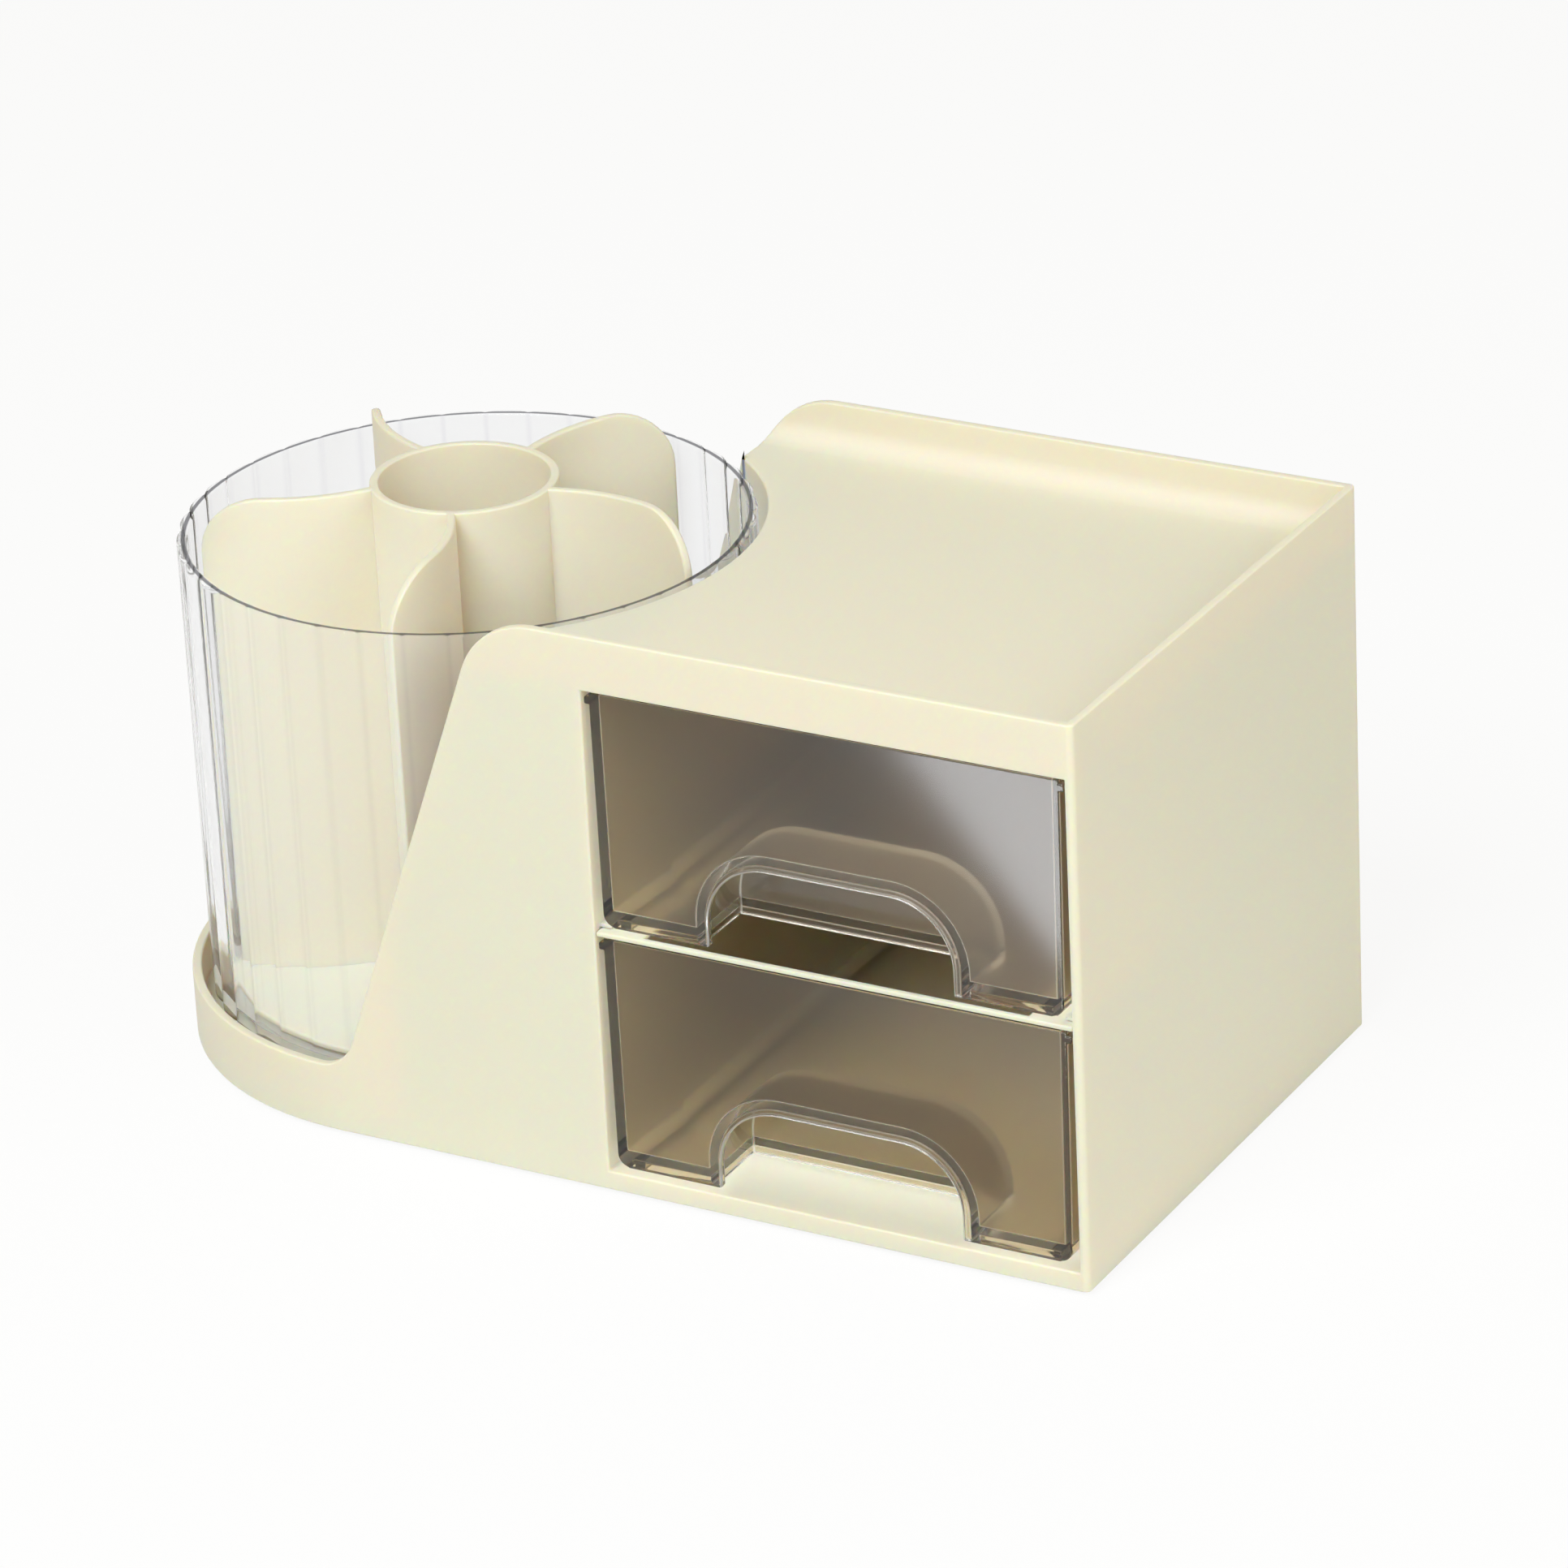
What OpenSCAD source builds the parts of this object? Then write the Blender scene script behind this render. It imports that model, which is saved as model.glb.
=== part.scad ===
// Rotating brush holder with a two-drawer cabinet.
// A fluted clear cup with a curved-blade divider turns on a ball bearing in a round
// tray, and the cabinet beside it has two tinted drawers and a shallow tray on top.
// Millimetres, +Z up. The origin is on the table, under the middle of the whole part.

/* [Body] */
// Length of the body from the round end to the flat end
body_l = 257.5; // [240:0.5:300]
// Depth of the body, front to back
body_d = 140; // [130:1:160]
// Height of the body without its feet
body_h = 133; // [120:1:160]
// Thickness of the front, back and tray walls
wall = 2.2; // [1.6:0.1:3]
// Thickness of the cabinet's flat end wall
end_wall = 2; // [1.6:0.1:3]
// Radius of the two upright corners at the flat end
corner_r = 1.5; // [0.5:0.1:4]
// Thickness of the tray's and the cabinet's floors
floor_t = 2; // [1.6:0.1:2.4]
// Height of the cabinet's floor above the bottom edge
floor_top = 4.6; // [4.4:0.1:7]

/* [Top tray] */
// Depth of the tray on top of the cabinet
lip_h = 10.6; // [4:0.1:20]
// Thickness of the tray on top of the cabinet
roof_t = 2; // [1.6:0.1:4]
// Radius of the cove between the top tray and its long walls
cove_r = 5.5; // [1:0.5:8]

/* [Wings] */
// Lean of the wing edges from upright, in degrees
wing_lean = 20; // [10:1:30]
// Where the wing edge would meet the tray rim, right of the cup's axis
wing_foot = 1.9; // [0:0.1:8]
// Radius of the wing's rounded shoulder
shoulder_r = 19; // [8:1:25]
// Radius of the fillet between the wing edge and the tray rim
wing_foot_r = 10; // [4:1:16]

/* [Turntable tray] */
// Height of the tray rim above the bottom edge
tray_h = 16; // [14:0.5:24]
// Height of the tray's floor above the bottom edge
tray_floor_top = 7; // [6.5:0.1:9]
// Gap between the cup and the tray wall
cup_gap = 2.3; // [1:0.1:4]

/* [Cup] */
// Height of the cup
cup_h = 110; // [90:1:140]
// Number of flutes round the cup
flute_n = 40; // [30:1:50]
// Depth of the flutes
flute_depth = 1; // [0.6:0.1:1.4]
// Radius of each flute's rounded crest
flute_r = 12; // [10:0.5:20]
// Thickness of the cup's wall at the bottom of a flute
cup_wall = 1.5; // [1.2:0.1:2.5]
// Thickness of the cup's floor
cup_floor_t = 2.2; // [2:0.1:3]

/* [Divider] */
// Outer radius of the divider's centre tube
tube_r = 21.4; // [18:0.1:26]
// Thickness of the centre tube's wall
tube_wall = 2; // [1.5:0.1:3]
// Height of the centre tube above the cup's rim
tube_rise = 10.5; // [0:0.5:25]
// Number of blades
blade_n = 5; // [3:1:6]
// Thickness of each blade
blade_t = 2; // [1.5:0.1:3]
// Angle between a blade's root and the radius there
blade_heading = 13; // [5:0.5:45]
// Angle by which a blade's tip trails its root
blade_trail = 9; // [0:0.2:20]
// Gap between the blade tips and the cup
blade_gap = 2.5; // [1:0.1:4]
// Radius of the rounded top corner of each blade
blade_shoulder_r = 14; // [5:0.5:20]
// Angle of the first blade
divider_turn = -67.5; // [-180:0.5:180]
// Thickness of the divider's floor
divider_floor_t = 1.6; // [1.2:0.1:3]

/* [Bearing] */
// Diameter of the bearing balls
ball_d = 4; // [3.6:0.1:4.4]
// Number of bearing balls
ball_n = 12; // [6:1:20]
// Radius of the ball track
race_r = 42; // [34:0.5:50]
// How deep a ball sits in each track
race_depth = 1; // [0.6:0.1:1.2]
// Width of the ball cage
cage_w = 8; // [6:0.5:12]
// Thickness of the ball cage
cage_t = 1.2; // [0.8:0.1:1.4]
// Thickness of the turntable
table_t = 2.5; // [2.3:0.1:4]
// Radius of the turntable
table_r = 58; // [54:0.5:60]
// Radius of the pivot post
post_r = 6; // [5:0.1:8]

/* [Drawers] */
// Thickness of the wall between the cup's bay and the drawers
bay_wall = 1.8; // [1.5:0.1:3]
// Gap between a drawer's top and the rib above it
drawer_top_gap = 0.3; // [0.3:0.1:6]
// How far a drawer's front sits behind the body's front
drawer_inset = 0.5; // [0.3:0.1:5]
// Gap behind a closed drawer
drawer_back_gap = 3.8; // [1:0.1:10]
// Gap between the top of a drawer's side and the bay's wall
drawer_side_gap = 1.7; // [1.4:0.1:4]
// Draft of a drawer's sides, in degrees
drawer_draft = 0.5; // [0.3:0.1:2]
// Thickness of a drawer's walls
drawer_wall = 1.8; // [1.4:0.1:3]
// Radius of a drawer's lower edges
drawer_edge_r = 3; // [2:0.5:6]
// How far a drawer's floor lies above the lower edge of its walls
floor_rise = 1.7; // [0.5:0.1:3]
// Height of the two runners under a drawer
runner_h = 1.3; // [0.6:0.1:3]
// Width of the runners under a drawer
runner_w = 2.5; // [1.5:0.5:5]
// Height of the flange along the top of a drawer's side
flange_h = 1.8; // [1.2:0.1:4]
// Width of a finger pull
pull_w = 65.8; // [40:0.2:80]
// Height of a finger pull
pull_h = 23.5; // [15:0.1:35]
// Depth of a finger pull
pull_depth = 17; // [12:0.5:25]
// Radius of a finger pull's upper corners
pull_r = 18; // [8:0.5:20]
// How far a drawer's front reaches in over its finger pull, for the fingers to hold
pull_lip = 1.5; // [0.5:0.1:3]

/* [Divider frame] */
// Thickness of the frame between the drawers
frame_t = 1.2; // [1.2:0.1:3]
// Width of the frame's front bar
frame_front_w = 1.5; // [1.5:0.5:12]
// Width of the frame's side strips and rear bar
frame_side_w = 11; // [9:0.5:16]
// How far the frame's front edge stands in front of the drawers
frame_proud = 0.2; // [0:0.1:0.5]
// How far the ribs that hold the frame stand out
rib_out = 2.8; // [2:0.1:3]
// Thickness of the ribs that hold the frame
rib_t = 0.8; // [0.8:0.1:2]

/* [Base] */
// Thickness of the base plate
base_t = 2; // [1.6:0.1:2.2]
// How far the base plate lies above the body's bottom edge
base_recess = 0.3; // [0.1:0.1:0.4]
// How far the feet stand below the body
foot_proud = 1; // [0.5:0.1:3]
// Radius of the feet
foot_r = 5; // [3:0.5:7]
// Distance of the flat end's feet from the walls
foot_inset = 12; // [9:0.5:25]
// Distance of the round end's feet from the cup's axis
foot_ring_r = 52; // [45:0.5:56]
// Angle of the round end's feet from the length of the body
foot_angle = 140; // [125:1:155]
// Radius of the bosses that the base screws go into
boss_r = 4.5; // [3.5:0.1:5]
// How far a corner boss runs into the walls
boss_merge = 0.6; // [0.3:0.1:1]

/* [Screws] */
// Radius of the screws
screw_r = 1.45; // [1.2:0.05:1.6]
// Radius of the countersunk heads
screw_head_r = 2.8; // [2.4:0.1:3.2]
// Height of the countersunk heads
screw_head_h = 1.5; // [1:0.1:1.6]
// Length of the base screws
base_screw_l = 5.6; // [5:0.1:6]
// Distance of the round end's base screws from the cup's axis
base_screw_ring = 55; // [48:0.5:58]
// Angle of the round end's base screws from the length of the body
base_screw_angle = 110; // [95:1:120]
// Number of screws that hold the cup
cup_screw_n = 3; // [2:1:6]
// Angle of the first of the cup's screws
cup_screw_turn = 30; // [0:1:120]
// Radius of the circle that the cup's screws lie on
cup_screw_ring = 30; // [26:0.5:33]
// Radius of the hub washer
washer_r = 8.6; // [8:0.1:10]
// Thickness of the hub washer
washer_t = 0.8; // [0.5:0.1:1]
// Width of the cross slots in the screw heads
slot_w = 0.9; // [0.6:0.1:1.2]
// Depth of the cross slots in the screw heads
slot_depth = 0.8; // [0.4:0.1:0.9]
// Radius of the hub screw's head
hub_head_r = 3.4; // [3:0.1:4]
// Height of the hub screw's head
hub_head_h = 1.6; // [1:0.1:1.8]
// Length of the hub screw below its head
hub_screw_l = 7; // [5:0.5:8]

/* [Clearances] */
// Gap between parts that slide or lift
slide_gap = 0.3; // [0.2:0.05:0.6]
// Gap of a part that is set into a pocket
seat_gap = 0.2; // [0.1:0.05:0.4]
// Radial gap of the turning fits
running_gap = 0.08; // [0.03:0.01:0.1]
// Radial gap round a screw
screw_gap = 0.05; // [0.02:0.01:0.1]
// Room round the hub's washer, and again round its pocket
hub_room = 1; // [0.5:0.1:2]

/* [Hidden] */
$fn = 96;
// Room that a cut runs past a face
past = 1;
// Radius that an inset corner keeps at least
least_r = 0.1;
// Number of steps in the fillet at the foot of a wing
fillet_n = 10;
fillet_step = (90 - wing_lean) / fillet_n;

// Heights are above the table, and every level stacks on the one before it
bottom_z = foot_proud;
top_z = bottom_z + body_h;
rim_z = bottom_z + tray_h;
roof_z = top_z - lip_h;
bay_top_z = roof_z - roof_t;
bay_floor_z = bottom_z + floor_top;
tray_z = bottom_z + tray_floor_top;
under_tray_z = tray_z - floor_t;
under_bay_z = bay_floor_z - floor_t;
ball_z = tray_z - race_depth + ball_d / 2;
table_z = tray_z + ball_d - 2 * race_depth;
cup_z = table_z + table_t;
cup_floor_z = cup_z + cup_floor_t;
cup_rim_z = cup_z + cup_h;
divider_z = cup_floor_z + slide_gap;
divider_top_z = cup_rim_z + tube_rise;

// The plan: the cup turns about a point on the round end's own centre
half_d = body_d / 2;
axis_x = -body_l / 2 + half_d;
right_x = body_l / 2;
well_r = half_d - wall;
cup_r = well_r - cup_gap;
bay_left = axis_x + well_r + bay_wall;
bay_right = right_x - end_wall;
bay_w = bay_right - bay_left;
bay_x = (bay_left + bay_right) / 2;
bay_back = half_d - wall;
bay_wall_x = bay_left - bay_wall;

// The cup's flutes and the divider inside it
cup_core_r = cup_r - flute_depth;
cup_inner_r = cup_core_r - cup_wall;
blade_r = cup_inner_r - blade_gap;
blade_chord = [blade_r * cos(blade_trail) - tube_r, -blade_r * sin(blade_trail)];
blade_swing = blade_heading - atan2(blade_chord[1], blade_chord[0]);
blade_arc_r = norm(blade_chord) / (2 * sin(blade_swing));
blade_cx = tube_r + blade_arc_r * sin(blade_heading);
blade_cy = -blade_arc_r * cos(blade_heading);

// The frame between the drawers sits halfway up the bay
frame_z = (bay_floor_z + bay_top_z - frame_t) / 2;
frame_w = bay_w - 2 * seat_gap;
frame_front = -half_d + drawer_inset - frame_proud;
frame_back = bay_back - slide_gap;

// The drawers
drawer_top_w = bay_w - 2 * drawer_side_gap;
drawer_h = frame_z - seat_gap - rib_t - drawer_top_gap - bay_floor_z - slide_gap - runner_h;
drawer_front_h = drawer_h + drawer_top_gap + rib_t + seat_gap - slide_gap;
drawer_bottom_w = drawer_top_w - 2 * drawer_h * tan(drawer_draft);
drawer_front = -half_d + drawer_inset;
drawer_l = bay_back - drawer_back_gap - drawer_front;
drawer_lift = [for (z = [frame_z + frame_t, bay_floor_z]) z + slide_gap + runner_h];
under_drawer_w = drawer_bottom_w - 2 * drawer_edge_r;
runner_x = under_drawer_w / 2 - runner_w;
flange_w = bay_w - 2 * (slide_gap + seat_gap);

// The hub: a washer under the screw's head keeps the turntable down
post_top_z = table_z + table_t - washer_t - slide_gap;
hub_sink_z = post_top_z - slide_gap;
hub_sink_r = washer_r + hub_room;
cup_hole_r = hub_sink_r + hub_room;

// The screws that hold the base plate, and what they go into
base_z = bottom_z + base_recess;
base_top_z = base_z + base_t;
corner_boss = well_r - boss_r + boss_merge;
corner_screws_at = [for (side = [-1, 1]) [axis_x + corner_boss, side * corner_boss]];
round_screws_at = [for (side = [-1, 1])
    [axis_x + base_screw_ring * cos(base_screw_angle), side * base_screw_ring * sin(base_screw_angle)]];
base_screws_at = concat(corner_screws_at, round_screws_at);
base_feet_at = [for (side = [-1, 1])
    [axis_x + foot_ring_r * cos(foot_angle), side * foot_ring_r * sin(foot_angle)]];
bay_feet_at = [for (side = [-1, 1])
    [right_x - foot_inset, side * (half_d - foot_inset)]];

cream = [0.93, 0.9, 0.82];
clear_tint = [0.9, 0.93, 0.97, 0.35];
smoke = [0.5, 0.45, 0.38, 0.6];
steel = [0.75, 0.75, 0.77];
rubber = [0.25, 0.25, 0.25];
nylon = [0.95, 0.95, 0.93];

// The body's plan, drawn in from its outline by an inset
module body_plan(inset = 0) {
    r = max(corner_r - inset, least_r);
    half = half_d - inset;
    right = right_x - inset;
    translate([axis_x, 0]) circle(half);
    translate([axis_x, -half]) square([right - r - axis_x, 2 * half]);
    translate([axis_x, r - half]) square([right - axis_x, 2 * (half - r)]);
    for (side = [-1, 1]) translate([right - r, side * (half - r)]) circle(r);
}

// Where the wing's sloped edge lies at a height
function wing_x(z) = axis_x + wing_foot + (z - rim_z) * tan(wing_lean);

// The body seen from the front: tray, sloped wing with its shoulder, and cabinet
module body_side() {
    shoulder_x = wing_x(top_z) + shoulder_r * tan((90 - wing_lean) / 2);
    shoulder_z = top_z - shoulder_r;
    fillet_z = rim_z + wing_foot_r;
    fillet_x = wing_x(fillet_z) - wing_foot_r / cos(wing_lean);
    fillet_end = 360 - wing_lean;
    polygon(concat(
        [[-body_l / 2, rim_z], [-body_l / 2, bottom_z], [right_x, bottom_z], [right_x, top_z]],
        [[shoulder_x, top_z], [shoulder_x, shoulder_z]],
        [[shoulder_x - shoulder_r * cos(wing_lean), shoulder_z + shoulder_r * sin(wing_lean)]],
        [for (a = [fillet_end : -fillet_step : 270])
            [fillet_x + wing_foot_r * cos(a), fillet_z + wing_foot_r * sin(a)]]
    ));
    translate([shoulder_x, shoulder_z]) circle(shoulder_r);
}

// A front-view outline extruded along Y between two depths
module along_y(from, to) {
    translate([0, to, 0]) rotate([90, 0, 0]) linear_extrude(to - from) children();
}

// The space inside the walls to the left of the drawers
module left_plan(inset) {
    intersection() {
        body_plan(inset);
        translate([-body_l / 2, -half_d]) square([bay_wall_x - inset + wall + body_l / 2, body_d]);
    }
}

// The hollow corners between the cup's bay, the wings and the drawer bay
module corner_hollows() {
    intersection() {
        translate([0, 0, bottom_z - past]) linear_extrude(bay_top_z - bottom_z + past) difference() {
            left_plan(wall);
            translate([axis_x, 0]) circle(well_r + wall);
        }
        along_y(-half_d, half_d) polygon([
            [wing_x(bottom_z - past) + wall / cos(wing_lean), bottom_z - past],
            [bay_wall_x, bottom_z - past],
            [bay_wall_x, bay_top_z],
            [wing_x(bay_top_z) + wall / cos(wing_lean), bay_top_z]
        ]);
    }
}

// The top tray's hollow, with coves along its long walls
module top_tray_hollow() {
    half = half_d - wall;
    left = wing_x(bay_top_z) - shoulder_r;
    translate([left, 0, 0]) rotate([90, 0, 90]) linear_extrude(right_x - end_wall - left) {
        translate([-half, roof_z + cove_r]) square([2 * half, lip_h - cove_r + past]);
        translate([cove_r - half, roof_z]) square([2 * (half - cove_r), lip_h]);
        for (side = [-1, 1]) translate([side * (half - cove_r), roof_z + cove_r]) circle(cove_r);
    }
}

// The track that the balls run in, cut half into the tray and half into the turntable
module ball_track() {
    translate([axis_x, 0, ball_z]) rotate_extrude()
        translate([race_r, 0]) circle(ball_d / 2 + running_gap);
}

// The pair of ribs on each side of the drawer bay that the divider frame slides between
module frame_ribs() {
    rib_front = drawer_front + drawer_wall + slide_gap;
    rib_l = frame_back - rib_front;
    for (x = [bay_left - past, bay_right - rib_out]) {
        for (z = [frame_z - seat_gap - rib_t, frame_z + frame_t + seat_gap]) {
            translate([x, rib_front, z]) cube([rib_out + past, rib_l + wall, rib_t]);
        }
    }
}

// The cream body: one moulding that holds everything else
module housing() color(cream) difference() {
    union() {
        difference() {
            intersection() {
                translate([0, 0, bottom_z]) linear_extrude(body_h) body_plan();
                along_y(-half_d, half_d) body_side();
            }
            translate([axis_x, 0, tray_z]) cylinder(r = well_r, h = top_z);
            translate([0, 0, bottom_z - past])
                linear_extrude(under_tray_z - bottom_z + past) left_plan(wall);
            corner_hollows();
            translate([bay_left, -half_d - past, bay_floor_z])
                cube([bay_w, bay_back + half_d + past, bay_top_z - bay_floor_z]);
            translate([bay_left, wall - half_d, bottom_z - past])
                cube([bay_w, body_d - 2 * wall, under_bay_z - bottom_z + past]);
            top_tray_hollow();
        }
        frame_ribs();
        for (p = base_screws_at) translate([p[0], p[1], base_top_z])
            cylinder(r = boss_r, h = under_tray_z + floor_t / 2 - base_top_z);
        for (p = bay_feet_at) translate([p[0], p[1], base_z])
            cylinder(r = foot_r + wall, h = under_bay_z + floor_t / 2 - base_z);
        translate([axis_x, 0, base_top_z]) cylinder(r = post_r, h = post_top_z - base_top_z);
    }
    ball_track();
    for (p = base_screws_at) translate([p[0], p[1], base_z])
        cylinder(r = screw_r + screw_gap, h = base_screw_l + slide_gap);
    translate([axis_x, 0, post_top_z + washer_t - hub_screw_l - slide_gap])
        cylinder(r = screw_r + screw_gap, h = hub_screw_l);
}

// The plate that closes the underside of the tray and the hollow corners
module base_plate() color(cream) difference() {
    translate([0, 0, base_z]) linear_extrude(base_t) left_plan(wall + seat_gap);
    for (p = base_screws_at) translate([p[0], p[1], base_z]) {
        cylinder(r = screw_r + screw_gap, h = base_t + past);
        translate([0, 0, -past]) cylinder(r = screw_head_r + screw_gap, h = past);
        cylinder(r1 = screw_head_r + screw_gap, r2 = screw_r + screw_gap, h = screw_head_h);
    }
}

// A cross slot, as long as the radius of the head that it is cut into, down from the origin
module cross_slot(length)
    for (turn = [0, 90]) rotate(turn) translate([-length / 2, -slot_w / 2, -slot_depth])
        cube([length, slot_w, slot_depth + past]);

// A countersunk screw, its head's face at the origin, pointing down
module countersunk_screw(length) difference() {
    union() {
        translate([0, 0, -screw_head_h]) cylinder(r1 = screw_r, r2 = screw_head_r, h = screw_head_h);
        translate([0, 0, -length]) cylinder(r = screw_r, h = length);
    }
    cross_slot(screw_head_r);
}

module base_screws() color(steel)
    for (p = base_screws_at) translate([p[0], p[1], base_z])
        mirror([0, 0, 1]) countersunk_screw(base_screw_l);

// Soft pads under the base plate and under the drawers
module rubber_feet() color(rubber)
    for (p = concat(base_feet_at, bay_feet_at)) translate([p[0], p[1], 0])
        cylinder(r = foot_r, h = base_z);

// The open frame that carries the upper drawer
module divider_frame() color(cream) difference() {
    translate([bay_x - frame_w / 2, frame_front, frame_z])
        cube([frame_w, frame_back - frame_front, frame_t]);
    translate([bay_x - frame_w / 2 + frame_side_w, frame_front + frame_front_w, frame_z - past])
        cube([
            frame_w - 2 * frame_side_w,
            frame_back - frame_front - frame_front_w - frame_side_w,
            frame_t + 2 * past
        ]);
}

// A drawer's section from the front: drafted sides and rounded lower edges
module drawer_section(inset, height) {
    r = drawer_edge_r - inset;
    half = drawer_bottom_w / 2 - inset / cos(drawer_draft) + inset * tan(drawer_draft);
    corner_x = half + r * tan(drawer_draft) - r / cos(drawer_draft);
    side_x = corner_x + r * cos(drawer_draft);
    side_z = inset + r - r * sin(drawer_draft);
    top_x = half + (height - inset) * tan(drawer_draft);
    polygon([
        [-corner_x, inset], [corner_x, inset],
        [side_x, side_z], [top_x, height],
        [-top_x, height], [-side_x, side_z]
    ]);
    for (side = [-1, 1]) translate([side * corner_x, inset + r]) circle(r);
}

// A finger pull's arch, drawn in from its outline by an inset
module pull_arch(inset) {
    r = pull_r - inset;
    half = pull_w / 2 - inset;
    height = pull_h - inset;
    translate([-half, -past]) square([2 * half, height - r + past]);
    translate([r - half, -past]) square([2 * (half - r), height + past]);
    for (side = [-1, 1]) translate([side * (half - r), height - r]) circle(r);
}

// One tinted drawer, open at the top, with a finger pull let into its front and runners under its floor.
// Its front stands higher than its sides and covers the ends of the ribs
module drawer(lift) color(smoke) translate([bay_x, 0, lift]) {
    back = drawer_front + drawer_l;
    front_in = drawer_front + drawer_wall;
    pull_back = drawer_front + pull_depth;
    difference() {
        union() {
            difference() {
                along_y(drawer_front, back) drawer_section(0, drawer_h);
                along_y(front_in, back - drawer_wall) intersection() {
                    drawer_section(drawer_wall, drawer_h + past);
                    translate([-bay_w / 2, floor_rise + drawer_wall]) square([bay_w, drawer_h]);
                }
                along_y(front_in, back - drawer_wall)
                    translate([-under_drawer_w / 2, -past]) square([under_drawer_w, floor_rise + past]);
            }
            along_y(drawer_front, front_in) drawer_section(0, drawer_front_h);
            intersection() {
                along_y(drawer_front, pull_back + drawer_wall) pull_arch(0);
                along_y(drawer_front, back) drawer_section(0, drawer_h);
            }
            for (side = [-1, 1]) {
                inner = drawer_top_w / 2 - flange_h * tan(drawer_draft) - drawer_wall / 2;
                outer = flange_w / 2;
                translate([side > 0 ? inner : -outer, drawer_front, drawer_h - flange_h])
                    cube([outer - inner, drawer_l, flange_h]);
                runner_left = side > 0 ? runner_x : -runner_x - runner_w;
                translate([runner_left, drawer_front + drawer_edge_r, -runner_h])
                    cube([
                        runner_w,
                        drawer_l - 2 * drawer_edge_r,
                        runner_h + floor_rise + drawer_wall / 2
                    ]);
            }
        }
        along_y(drawer_front - past, pull_back) pull_arch(drawer_wall + pull_lip);
        along_y(front_in, pull_back) pull_arch(drawer_wall);
    }
}

module upper_drawer() drawer(drawer_lift[0]);
module lower_drawer() drawer(drawer_lift[1]);

// The ring that spaces the balls
module ball_cage() color(nylon) translate([axis_x, 0, ball_z - cage_t / 2]) difference() {
    cylinder(r = race_r + cage_w / 2, h = cage_t);
    translate([0, 0, -past]) cylinder(r = race_r - cage_w / 2, h = cage_t + 2 * past);
    for (k = [0 : ball_n - 1]) rotate(k * 360 / ball_n) translate([race_r, 0, -past])
        cylinder(r = ball_d / 2 + seat_gap, h = cage_t + 2 * past);
}

module bearing_balls() color(steel)
    for (k = [0 : ball_n - 1]) translate([axis_x, 0, ball_z])
        rotate(k * 360 / ball_n) translate([race_r, 0, 0]) sphere(ball_d / 2);

// The disc that the cup is screwed to, with a sunk hub round the pivot post
module turntable() color(cream) difference() {
    translate([axis_x, 0, table_z]) cylinder(r = table_r, h = table_t);
    translate([axis_x, 0, table_z - past]) cylinder(r = post_r + running_gap, h = table_t + 2 * past);
    translate([axis_x, 0, hub_sink_z]) cylinder(r = hub_sink_r, h = table_t);
    ball_track();
    cup_screw_places() translate([0, 0, past - cup_z])
        cylinder(r = screw_r + screw_gap, h = 2 * cup_z);
}

// Places what is drawn at each of the cup's screws, with the cup floor's top as zero
module cup_screw_places() translate([axis_x, 0, cup_floor_z])
    for (k = [0 : cup_screw_n - 1]) rotate(cup_screw_turn + k * 360 / cup_screw_n)
        translate([cup_screw_ring, 0, 0]) children();

module hub_washer() color(steel) translate([axis_x, 0, post_top_z]) difference() {
    cylinder(r = washer_r, h = washer_t);
    translate([0, 0, -past]) cylinder(r = screw_r + screw_gap, h = washer_t + 2 * past);
}

// The screw that holds the washer on the pivot post
module hub_screw() color(steel) translate([axis_x, 0, post_top_z + washer_t]) difference() {
    union() {
        cylinder(r = hub_head_r, h = hub_head_h);
        translate([0, 0, -hub_screw_l]) cylinder(r = screw_r, h = hub_screw_l);
    }
    translate([0, 0, hub_head_h]) cross_slot(hub_head_r);
}

// The screws from the cup's floor down into the turntable
module cup_screws() color(steel)
    cup_screw_places() countersunk_screw(cup_floor_t + table_t);

// The cup's outline: rounded crests round a core
module cup_plan() {
    circle(cup_core_r);
    for (k = [0 : flute_n - 1]) rotate((k + 0.5) * 360 / flute_n)
        translate([cup_r - flute_r, 0]) circle(flute_r);
}

// The clear cup that turns in the tray
module fluted_cup() color(clear_tint) difference() {
    translate([axis_x, 0, cup_z]) linear_extrude(cup_h) cup_plan();
    translate([axis_x, 0, cup_floor_z]) cylinder(r = cup_inner_r, h = cup_h);
    translate([axis_x, 0, cup_z - past]) cylinder(r = cup_hole_r, h = cup_floor_t + 2 * past);
    cup_screw_places() {
        translate([0, 0, -cup_floor_t - past]) cylinder(r = screw_r + screw_gap, h = cup_h);
        translate([0, 0, -screw_head_h])
            cylinder(r1 = screw_r + screw_gap, r2 = screw_head_r + screw_gap, h = screw_head_h);
    }
}

// The angle, about a blade's own centre, at which the blade is this far from the cup's axis
function blade_angle(r) =
    let (d = norm([blade_cx, blade_cy]))
    atan2(-blade_cy, -blade_cx) - acos((blade_arc_r ^ 2 + d ^ 2 - r ^ 2) / (2 * blade_arc_r * d));

// One blade's plan, from inside the tube's wall to past its tip
module blade_plan() translate([blade_cx, blade_cy]) {
    from = blade_angle(tube_r - tube_wall / 2);
    to = blade_angle(blade_r + past);
    reach = 2 * blade_arc_r;
    intersection() {
        difference() {
            circle(blade_arc_r + blade_t / 2);
            circle(blade_arc_r - blade_t / 2);
        }
        polygon(concat([[0, 0]],
            [for (a = [from, (from + to) / 2, to]) reach * [cos(a), sin(a)]]));
    }
}

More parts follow.
